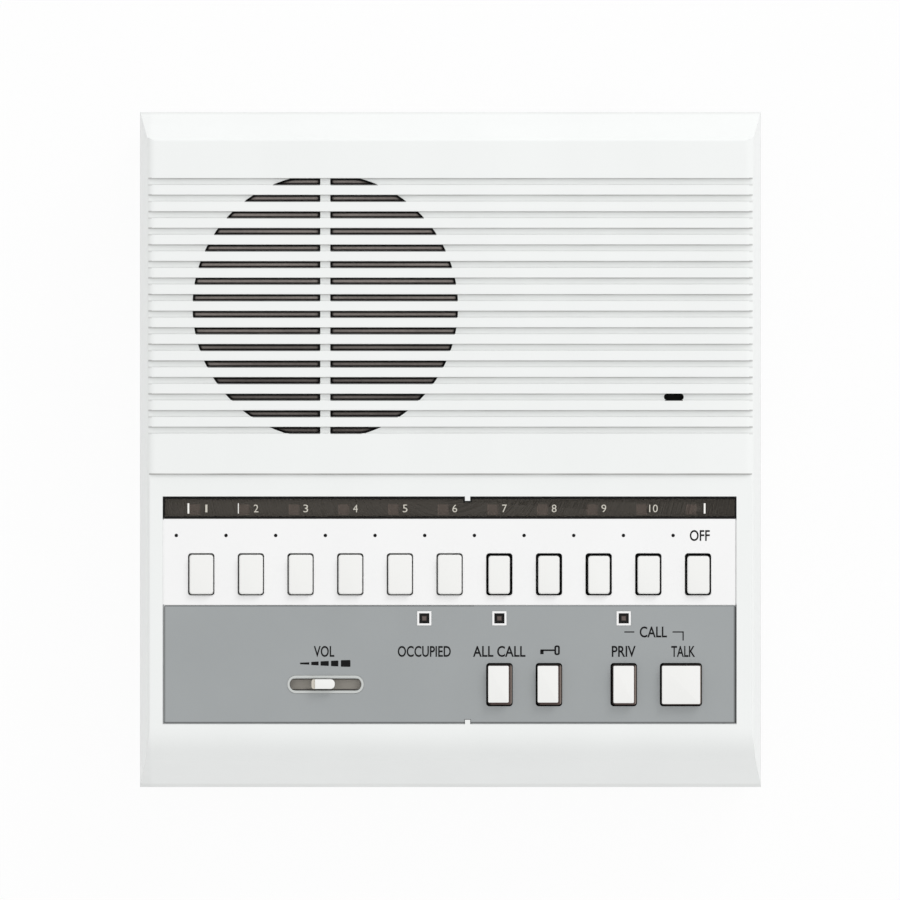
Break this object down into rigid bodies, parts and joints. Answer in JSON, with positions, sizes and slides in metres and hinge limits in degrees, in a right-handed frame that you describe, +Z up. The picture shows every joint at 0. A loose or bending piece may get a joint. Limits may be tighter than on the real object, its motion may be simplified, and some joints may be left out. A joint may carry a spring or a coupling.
{
  "type": "desk intercom",
  "caption": "Desk intercom master station: white case with ribbed loudspeaker deck, station keys, smoked name strip, volume slider and function keys.",
  "frame": {"origin": "on the desk under the feet, at the middle of the case's length and width", "axes": "+Z up out of the face, +Y to the far edge with the loudspeaker, +X to the right"},
  "size_m": [0.2114, 0.2298, 0.0542],
  "materials": {
    "cover_plastic": "fine satin grain, warm white",
    "case_plastic": "fine grain, pale grey",
    "panel_plastic": "smooth satin white",
    "grey_sheet": "smooth satin grey",
    "smoked_window": "smoked, see-through",
    "card": "matt printed card",
    "lamp_red": "unlit red lens",
    "lamp_dark": "dark unlit lens",
    "key_plastic": "smooth satin white",
    "stem_plastic": "natural moulding",
    "switch_plastic": "black moulding",
    "shutter_plastic": "dull brown grey",
    "plated_steel": "bright plated",
    "core_steel": "varnished stack",
    "board_resin": "green lacquer",
    "chip_resin": "dull black",
    "can_sleeve": "shrunk sleeve",
    "cloth": "fine dark weave",
    "foam": "closed foam",
    "cone_paper": "pressed dark paper",
    "ferrite": "ground grey ferrite",
    "capsule_aluminium": "drawn can",
    "rubber_black": "matt",
    "terminal_plastic": "ivory moulding"
  },
  "bodies": {
    "case": {"front_cover": "cover_plastic", "rear_case": "case_plastic", "control_panel": "panel_plastic", "overlay_sheet": "grey_sheet", "name_window": "smoked_window", "name_card": "card", "station_lamps": "lamp_red", "status_lamps": "lamp_dark", "volume_pot": "switch_plastic", "selector_switches": "switch_plastic", "function_switches": "switch_plastic", "switch_frame": "plated_steel", "main_board": "board_resin", "transformer": "core_steel", "chips": "chip_resin", "capacitors": "can_sleeve", "speaker_cloth": "cloth", "speaker_gasket": "foam", "speaker_frame": "plated_steel", "speaker_cone": "cone_paper", "speaker_magnet": "ferrite", "speaker_yoke": "plated_steel", "microphone": "capsule_aluminium", "microphone_boot": "rubber_black", "terminal_board": "board_resin", "terminal_blocks": "terminal_plastic", "terminal_screws": "plated_steel", "case_screws": "plated_steel", "small_screws": "plated_steel", "rubber_feet": "rubber_black"},
    "station_1": {"station_key_1": "key_plastic", "station_stem_1": "stem_plastic"},
    "station_2": {"station_key_2": "key_plastic", "station_stem_2": "stem_plastic"},
    "station_3": {"station_key_3": "key_plastic", "station_stem_3": "stem_plastic"},
    "station_4": {"station_key_4": "key_plastic", "station_stem_4": "stem_plastic"},
    "station_5": {"station_key_5": "key_plastic", "station_stem_5": "stem_plastic"},
    "station_6": {"station_key_6": "key_plastic", "station_stem_6": "stem_plastic"},
    "station_7": {"station_key_7": "key_plastic", "station_stem_7": "stem_plastic"},
    "station_8": {"station_key_8": "key_plastic", "station_stem_8": "stem_plastic"},
    "station_9": {"station_key_9": "key_plastic", "station_stem_9": "stem_plastic"},
    "station_10": {"station_key_10": "key_plastic", "station_stem_10": "stem_plastic"},
    "off": {"off_key": "key_plastic", "off_stem": "stem_plastic"},
    "all_call": {"all_call_key": "key_plastic"},
    "door": {"door_key": "key_plastic"},
    "privacy": {"privacy_key": "key_plastic"},
    "talk": {"talk_key": "key_plastic"},
    "volume": {"volume_knob": "key_plastic", "volume_lever": "shutter_plastic"},
    "interlock": {"interlock_bar": "plated_steel"}
  },
  "joints": [
    {"name": "station_1_press", "type": "slide", "parent": "case", "child": "station_1", "axis": [0, 0, -1], "range_m": [0, 0.0025], "stiffness_N_per_m": 200, "springref_m": -0.003},
    {"name": "station_2_press", "type": "slide", "parent": "case", "child": "station_2", "axis": [0, 0, -1], "range_m": [0, 0.0025], "stiffness_N_per_m": 200, "springref_m": -0.003},
    {"name": "station_3_press", "type": "slide", "parent": "case", "child": "station_3", "axis": [0, 0, -1], "range_m": [0, 0.0025], "stiffness_N_per_m": 200, "springref_m": -0.003},
    {"name": "station_4_press", "type": "slide", "parent": "case", "child": "station_4", "axis": [0, 0, -1], "range_m": [0, 0.0025], "stiffness_N_per_m": 200, "springref_m": -0.003},
    {"name": "station_5_press", "type": "slide", "parent": "case", "child": "station_5", "axis": [0, 0, -1], "range_m": [0, 0.0025], "stiffness_N_per_m": 200, "springref_m": -0.003},
    {"name": "station_6_press", "type": "slide", "parent": "case", "child": "station_6", "axis": [0, 0, -1], "range_m": [0, 0.0025], "stiffness_N_per_m": 200, "springref_m": -0.003},
    {"name": "station_7_press", "type": "slide", "parent": "case", "child": "station_7", "axis": [0, 0, -1], "range_m": [0, 0.0025], "stiffness_N_per_m": 200, "springref_m": -0.003},
    {"name": "station_8_press", "type": "slide", "parent": "case", "child": "station_8", "axis": [0, 0, -1], "range_m": [0, 0.0025], "stiffness_N_per_m": 200, "springref_m": -0.003},
    {"name": "station_9_press", "type": "slide", "parent": "case", "child": "station_9", "axis": [0, 0, -1], "range_m": [0, 0.0025], "stiffness_N_per_m": 200, "springref_m": -0.003},
    {"name": "station_10_press", "type": "slide", "parent": "case", "child": "station_10", "axis": [0, 0, -1], "range_m": [0, 0.0025], "stiffness_N_per_m": 200, "springref_m": -0.003},
    {"name": "off_press", "type": "slide", "parent": "case", "child": "off", "axis": [0, 0, -1], "range_m": [0, 0.0025], "stiffness_N_per_m": 200, "springref_m": -0.003},
    {"name": "all_call_press", "type": "slide", "parent": "case", "child": "all_call", "axis": [0, 0, -1], "range_m": [0, 0.0028], "stiffness_N_per_m": 200, "springref_m": -0.003},
    {"name": "door_press", "type": "slide", "parent": "case", "child": "door", "axis": [0, 0, -1], "range_m": [0, 0.0028], "stiffness_N_per_m": 200, "springref_m": -0.003},
    {"name": "privacy_press", "type": "slide", "parent": "case", "child": "privacy", "axis": [0, 0, -1], "range_m": [0, 0.0028], "stiffness_N_per_m": 200, "springref_m": -0.003},
    {"name": "talk_press", "type": "slide", "parent": "case", "child": "talk", "axis": [0, 0, -1], "range_m": [0, 0.0028], "stiffness_N_per_m": 200, "springref_m": -0.003},
    {"name": "volume_slide", "type": "slide", "parent": "case", "child": "volume", "axis": [1, 0, 0], "range_m": [-0.0073, 0.0085]},
    {"name": "interlock_slide", "type": "slide", "parent": "case", "child": "interlock", "axis": [-1, 0, 0], "range_m": [0, 0.0013], "stiffness_N_per_m": 200, "springref_m": -0.002}
  ]
}
